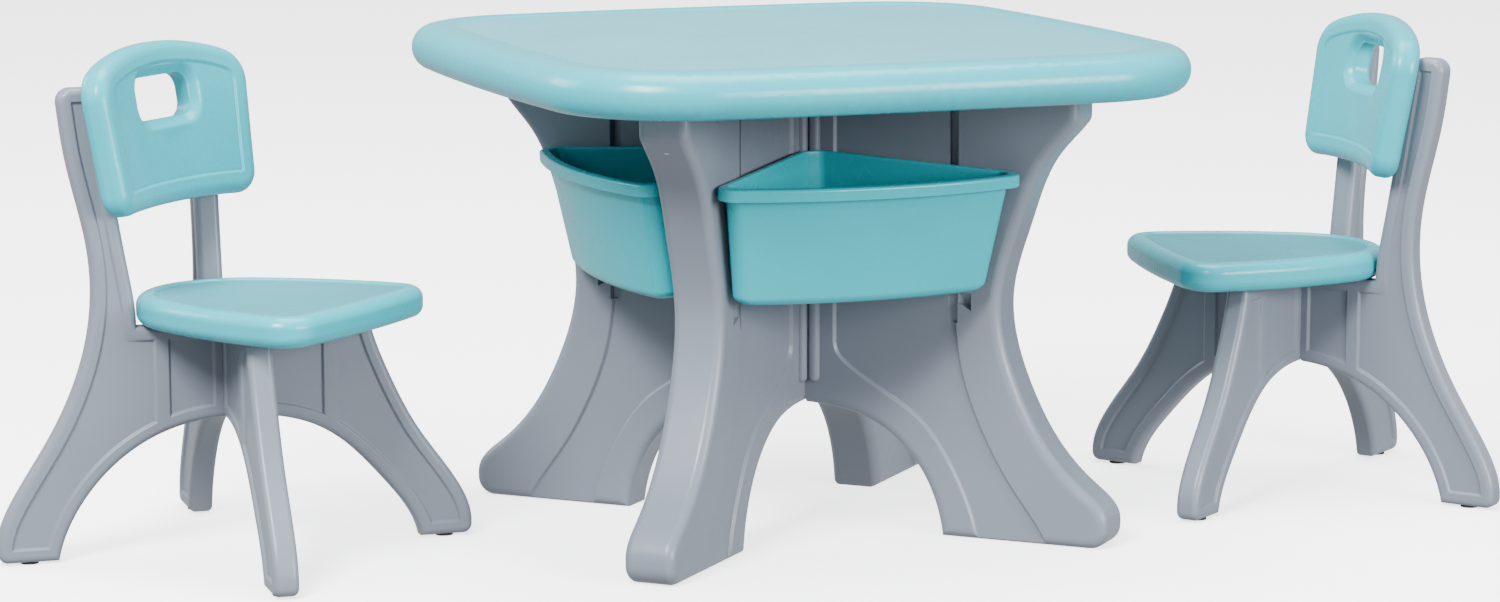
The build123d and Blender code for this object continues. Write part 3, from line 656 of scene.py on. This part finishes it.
def chair_outline():
    """Front leg on +X, rear leg and upright on -X, with the arch between them."""
    z0 = PAD_HIGH
    front_arch = spline([(0, CHAIR_ARCH_Z), (80, 116), (147, 57), (180, z0)], (1, 0), (0.2, -1))
    front_toe = corner((231, z0), (180, z0), (231, 30), 9)
    front_edge = spline([(231, 16), (217, 54), (180, 107), (151, 163), (131, SEAT_UNDER)],
                        (-0.05, 1), (-0.2, 1))
    bearer = line((131, SEAT_UNDER), (-92, SEAT_UNDER))
    inner = spline([(-92, SEAT_UNDER), (-99, 277), (-126, UPRIGHT_TOP)], (0, 1), (-0.16, 1))
    top = corner((-126, UPRIGHT_TOP), inner[-3], (-163, UPRIGHT_TOP), 13)
    outer_edge = spline([(-163, UPRIGHT_TOP), (-154, 380), (-135, 290), (-137, 217), (-174, 120),
                         (-209, 64), (-227, 16)], (0.12, -1), (-0.05, -1))
    top_rear = corner((-163, UPRIGHT_TOP), (-126, UPRIGHT_TOP), outer_edge[3], 13)
    rear_toe = corner((-227, z0), (-227, 30), (-170, z0), 9)
    rear_arch = spline([(-170, z0), (-142, 62), (-75, 116), (0, CHAIR_ARCH_Z)], (0.2, 1), (1, 0))
    upright_front = [q for q in inner if q[1] < UPRIGHT_TOP - 15]
    upright_back = [q for q in outer_edge if q[1] < UPRIGHT_TOP - 16]
    front = front_arch + line((180, z0), (222, z0)) + front_toe + front_edge + bearer
    rear = upright_back + rear_toe + line((-218, z0), (-170, z0)) + rear_arch
    return tidy(front + upright_front + top + top_rear + rear)


def make_chair_panel_shape(slot_up):
    """A chair panel's points and faces, lying flat, with its lap slot in the top or bottom half."""
    outer = chair_outline()
    lap = CHAIR_HALF + LAP_CLEAR
    low_z, high_z = (CHAIR_LAP_Z, SEAT_UNDER + 9) if slot_up else (60, CHAIR_LAP_Z)
    notch = np.array([(-lap, low_z), (lap, low_z), (lap, high_z), (-lap, high_z)])
    loops = edge_loops(outer, CHAIR_EDGE) + [inset(outer, CHAIR_FIELD_INSET + d) for d in CHAIR_LOOPS]
    lines = []
    for low, high, top in CHAIR_FIELDS:
        for d in CHAIR_LOOPS:
            if low > -250:
                lines.append(line((low + d, 60), (low + d, SEAT_UNDER - 5), 12))
            if high < 250:
                reach = UPRIGHT_TOP - 30 if high < 0 and low < -250 else SEAT_UNDER - 5
                lines.append(line((high + d, 60), (high + d, reach), 12))
            if top < UPRIGHT_TOP:
                lines.append(line((max(low, -62) - 2, top + d), (min(high, 150) + 2, top + d), 12))

    def front(q):
        d = depth_in(q, outer)
        x, z = q[:, 0], q[:, 1]
        h = np.full(len(q), CHAIR_HALF)
        for low, high, top in CHAIR_FIELDS:
            into = np.minimum(np.minimum(d - CHAIR_FIELD_INSET, top - z), np.minimum(x - low, high - x))
            h = np.minimum(h, CHAIR_HALF - CHAIR_FIELD_DEPTH * smooth(into / CHAIR_STEP + 0.5))
        return np.minimum(h, CHAIR_HALF - round_edge(d, CHAIR_EDGE))

    return moulded(outer, [notch], loops, lines, 40, front, lambda q: -front(q))


def backrest_outline():
    """Shoulders under an arched top, sides that close in, and a bottom edge that rises in the middle."""
    low, shoulder, crown = BACK_LOW_Z, BACK_SHOULDER_Z, BACK_CROWN_Z
    crest_r = (BACK_HALF**2 + (crown - shoulder)**2) / (2 * (crown - shoulder))
    crest = [(x, crown - crest_r + sqrt(crest_r**2 - x * x)) for x in np.linspace(92, -92, 42)]
    rise = [(x, low + BACK_RISE * (1 - (x / BACK_LOW_HALF)**2)) for x in np.linspace(-86, 86, 31)]
    shoulder_bend = corner((BACK_HALF, shoulder), (BACK_LOW_HALF, low), crest[1], BACK_SHOULDER_R, 14)
    foot = corner((BACK_LOW_HALF, low), rise[-6], (BACK_HALF, shoulder), BACK_CORNER_R, 10)
    half = foot + shoulder_bend
    return tidy(rise + half + crest + [(-x, z) for x, z in reversed(half)])


def make_backrest_shape():
    """A backrest's points and faces: a plate with a hand hole, bent round and leaned back."""
    outer = backrest_outline()
    hw, hh, r, z0 = HOLE_HALF_WIDE, HOLE_HALF_HIGH, HOLE_CORNER_R, HOLE_Z
    hole = tidy([q for cx, cz, a in ((hw - r, z0 - hh + r, -90), (hw - r, z0 + hh - r, 0),
                                     (r - hw, z0 + hh - r, 90), (r - hw, z0 - hh + r, 180))
                 for q in arc((cx, cz), r, a, a + 90, 12)])
    loops = edge_loops(outer, BACK_EDGE) + [inset(outer, d) for d in BACK_LOOPS]
    loops += [inset(hole, -k) for k in FUNNEL_LOOPS]

    def front(q):
        d = depth_in(q, outer)
        lip = -depth_in(q, hole)
        line_in = 0.7 * (1 - smooth(np.abs(d - BACK_FIELD_INSET - 1) / 1.8))
        panel = 1.3 * smooth((d - BACK_FIELD_INSET) / 2.2)
        funnel = FUNNEL_DEEP * (1 - smooth(lip / FUNNEL_WIDE)) ** 1.5
        drop = np.maximum(round_edge(d, BACK_EDGE), np.maximum(funnel, round_edge(lip, 5)))
        return BACK_THICK / 2 - line_in - panel - drop

    def back(q):
        d = depth_in(q, outer)
        lip = -depth_in(q, hole)
        return -BACK_THICK / 2 + np.maximum(round_edge(d, BACK_EDGE), round_edge(lip, 6))

    rows, faces = moulded(outer, [hole], loops, [], 9, front, back)
    middle = BACK_CURVE_R + BACK_THICK / 2
    lean = Matrix.Rotation(radians(-BACK_LEAN), 3, "Y")
    verts = []
    for u, v, h in rows:
        a = asin(u / middle)
        p = Vector((BACK_CURVE_R - (middle - h) * cos(a), (middle - h) * sin(a), v))
        verts.append(tuple(lean @ p + Vector((BACK_CENTRE_X, 0, BACK_PIVOT_Z))))
    return verts, faces


def chair_origin(body, turn):
    """The chair's axis, from where its seat's box is."""
    low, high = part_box(body + "_seat")
    flat = [Matrix.Rotation(radians(turn), 2) @ Vector(q) for q in seat_outline()]
    mid_x = (min(q.x for q in flat) + max(q.x for q in flat)) / 2 * MM
    mid_y = (min(q.y for q in flat) + max(q.y for q in flat)) / 2 * MM
    return Vector(((low.x + high.x) / 2 - mid_x, (low.y + high.y) / 2 - mid_y, 0))


def make_chairs():
    """Both chairs' mouldings, as rows of body, node, slot, object and grained faces (on the seat, grained and
    painted darker as shade).
    """
    seat_verts, seat_faces, grained = make_seat_shape()
    back_verts, back_faces = make_backrest_shape()
    panel_a, panel_b = make_chair_panel_shape(True), make_chair_panel_shape(False)
    made = []
    for joint in frame["joints"]:
        body = joint["child"]
        if not body.startswith("chair"):
            continue
        turn = degrees_of(atan2(-joint["axis"][1], -joint["axis"][0]))
        at = chair_origin(body, turn)
        seat = mesh_object(f"{body}_seat_moulding", place(seat_verts, turn, at), seat_faces)
        made.append((body, f"{body}_seat", "top_teal", seat, grained))
        back = mesh_object(f"{body}_backrest_moulding", place(back_verts, turn, at), back_faces)
        made.append((body, f"{body}_backrest", "top_teal", back, None))
        for letter, (verts, faces), extra in (("a", panel_a, 45), ("b", panel_b, -45)):
            points = place(upright(verts), turn + extra, at)
            panel = mesh_object(f"{body}_panel_{letter}_moulding", points, faces)
            made.append((body, f"{body}_leg_panel_{letter}", "panel_grey", panel, None))
    return made


# ---------------------------------------------------------------- materials


def plastic(name, colour, rough, grain, grain_size, sheen=0.0):
    """A moulded plastic: slight colour and gloss variation, fine grain, a few faint scuffs."""
    mat = bpy.data.materials.new(name)
    mat.use_nodes = True
    nodes, links = mat.node_tree.nodes, mat.node_tree.links
    shader = nodes["Principled BSDF"]
    where = nodes.new("ShaderNodeTexCoord")

    broad = nodes.new("ShaderNodeTexNoise")
    broad.inputs["Scale"].default_value = 9.0
    broad.inputs["Detail"].default_value = 3.0
    links.new(where.outputs["Object"], broad.inputs["Vector"])
    tint = nodes.new("ShaderNodeMapRange")
    tint.inputs["From Min"].default_value = 0.3
    tint.inputs["From Max"].default_value = 0.7
    tint.inputs["To Min"].default_value = 0.965
    tint.inputs["To Max"].default_value = 1.03
    links.new(broad.outputs["Fac"], tint.inputs["Value"])
    shade = nodes.new("ShaderNodeMix")
    shade.data_type = "RGBA"
    shade.blend_type = "MULTIPLY"
    shade.inputs["Factor"].default_value = 1.0
    shade.inputs["A"].default_value = (*colour, 1)
    links.new(tint.outputs["Result"], shade.inputs["B"])
    links.new(shade.outputs["Result"], shader.inputs["Base Color"])

    scuff = nodes.new("ShaderNodeTexNoise")
    scuff.inputs["Scale"].default_value = 60.0
    scuff.inputs["Detail"].default_value = 6.0
    scuff.inputs["Distortion"].default_value = 1.2
    links.new(where.outputs["Object"], scuff.inputs["Vector"])
    gloss = nodes.new("ShaderNodeMapRange")
    gloss.inputs["From Min"].default_value = 0.35
    gloss.inputs["From Max"].default_value = 0.75
    gloss.inputs["To Min"].default_value = rough - 0.04
    gloss.inputs["To Max"].default_value = rough + 0.09
    links.new(scuff.outputs["Fac"], gloss.inputs["Value"])
    links.new(gloss.outputs["Result"], shader.inputs["Roughness"])

    fine = nodes.new("ShaderNodeTexNoise")
    fine.inputs["Scale"].default_value = grain_size
    fine.inputs["Detail"].default_value = 2.0
    links.new(where.outputs["Object"], fine.inputs["Vector"])
    bump = nodes.new("ShaderNodeBump")
    bump.inputs["Strength"].default_value = grain
    bump.inputs["Distance"].default_value = 0.0004
    links.new(fine.outputs["Fac"], bump.inputs["Height"])
    links.new(bump.outputs["Normal"], shader.inputs["Normal"])

    shader.inputs["Specular IOR Level"].default_value = 0.32
    shader.inputs["Coat Weight"].default_value = sheen
    shader.inputs["Coat Roughness"].default_value = 0.35
    return mat


def rubber(name):
    return plastic(name, (0.02, 0.02, 0.022), 0.75, 0.5, 900)


def steel(name):
    mat = plastic(name, (0.55, 0.55, 0.56), 0.32, 0.15, 1500)
    mat.node_tree.nodes["Principled BSDF"].inputs["Metallic"].default_value = 1.0
    return mat


MATERIALS = {
    "top_teal": plastic("top_teal_plastic", (0.017, 0.37, 0.445), 0.25, 0.02, 700, 0.15),
    "bin_teal": plastic("bin_teal_plastic", (0.010, 0.36, 0.42), 0.22, 0.008, 600, 0.0),
    "panel_grey": plastic("panel_grey_plastic", (0.165, 0.19, 0.232), 0.33, 0.15, 700, 0.1),
    "screw_steel": steel("screw_steel_bright"),
    "pad_black": rubber("pad_black_rubber"),
}
PLATEAU = plastic("top_teal_grained", (0.085, 0.33, 0.39), 0.55, 0.9, 850, 0.0)
# the seat's field: real grain, and a colour darker than top_teal that paints shade on the seat
SEAT_FIELD_GRAIN_AND_SHADE = plastic("seat_grained_painted_shade", (0.040, 0.255, 0.31), 0.50, 0.5, 850, 0.0)


def dress(obj, body, node, slot, field=None, grained=None):
    """A piece's materials, the body it rides on and the CAD node it replaces."""
    obj.data.materials.append(MATERIALS[slot])
    if field:
        obj.data.materials.append(field)
        obj.data.polygons.foreach_set("material_index", grained.astype(np.int32))
    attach(obj, body)
    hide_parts(node)


# ---------------------------------------------------------------- build

top, grained = make_tabletop()
dress(top, "table", "tabletop", "top_teal", PLATEAU, grained)
for letter, panel in zip("ab", make_table_panels()):
    dress(panel, "table", f"table_leg_panel_{letter}", "panel_grey")
for name, piece in make_bins():
    dress(piece, name, name, "bin_teal")
# the seat's grained field takes the darker material, painted shade
for body, node, slot, piece, grained in make_chairs():
    dress(piece, body, node, slot, None if grained is None else SEAT_FIELD_GRAIN_AND_SHADE, grained)
for row in frame["record"]["subparts"]:
    node = frame["nodes"][row["node"]]
    if not node.hide_render:
        node.data.materials.clear()
        node.data.materials.append(MATERIALS[row["material_slot"]])


# ---------------------------------------------------------------- studio

FLOOR_HALF = 16.0
CAMERA_FROM_AXIS = (-1.5388, -3.8080, 0.8774)
CAMERA_DOWN, CAMERA_TURN = 9.14, 21.44       # degrees below level, and clockwise from +Y
CAMERA_LENS = 101.64


def make_floor():
    """A pale floor that takes the object's shadow."""
    size = FLOOR_HALF
    mesh = bpy.data.meshes.new("studio_floor")
    corners = [(-size, -size, 0), (size, -size, 0), (size, size, 0), (-size, size, 0)]
    mesh.from_pydata(corners, [], [(0, 1, 2, 3)])
    floor = bpy.data.objects.new("studio_floor", mesh)
    bpy.context.scene.collection.objects.link(floor)
    mat = bpy.data.materials.new("studio_white")
    mat.use_nodes = True
    shader = mat.node_tree.nodes["Principled BSDF"]
    shader.inputs["Base Color"].default_value = (0.95, 0.95, 0.95, 1)
    shader.inputs["Emission Color"].default_value = (1, 1, 1, 1)
    shader.inputs["Emission Strength"].default_value = 2.4
    shader.inputs["Roughness"].default_value = 0.9
    shader.inputs["Specular IOR Level"].default_value = 0.1
    mesh.materials.append(mat)
    # the bright floor is a backdrop: it doesn't light the object from below
    floor.visible_diffuse = False
    floor.visible_glossy = False


def softbox(name, at, aim, size, power):
    """A rectangular soft light."""
    lamp = bpy.data.lights.new(name, "AREA")
    lamp.shape = "RECTANGLE"
    lamp.size, lamp.size_y = size
    lamp.energy = power
    obj = bpy.data.objects.new(name, lamp)
    obj.location = at
    obj.rotation_euler = (Vector(aim) - Vector(at)).to_track_quat("-Z", "Y").to_euler()
    bpy.context.scene.collection.objects.link(obj)


def make_light():
    """Even surrounding light, a key from the left, a fill from the right, one overhead, one behind."""
    world = bpy.data.worlds.new("studio_world")
    bpy.context.scene.world = world
    world.use_nodes = True
    sky = world.node_tree.nodes["Background"]
    sky.inputs["Color"].default_value = (1, 1, 1, 1)
    sky.inputs["Strength"].default_value = 0.78
    softbox("key", (-2.6, -2.2, 3.2), (0, 0, 0.3), (1.5, 1.5), 440)
    softbox("overhead", (0.3, 0.4, 4.2), (0, 0, 0.3), (3.0, 3.0), 290)
    softbox("back", (-3.6, 3.0, 2.6), (0, 0, 0.3), (2.4, 1.6), 120)
    softbox("fill", (2.2, -4.2, 1.3), (0, 0, 0.25), (2.6, 1.6), 300)


def make_camera():
    """Seen from the left of the front, a little above, with a long lens."""
    camera = bpy.data.cameras.new("camera")
    camera.sensor_width = 36.0
    camera.lens = CAMERA_LENS
    camera.clip_end = 60
    obj = bpy.data.objects.new("camera", camera)
    obj.location = AXIS + Vector(CAMERA_FROM_AXIS)
    obj.rotation_euler = Euler((radians(90 - CAMERA_DOWN), 0, radians(-CAMERA_TURN)))
    bpy.context.scene.collection.objects.link(obj)
    bpy.context.scene.camera = obj


make_floor()
make_light()
make_camera()
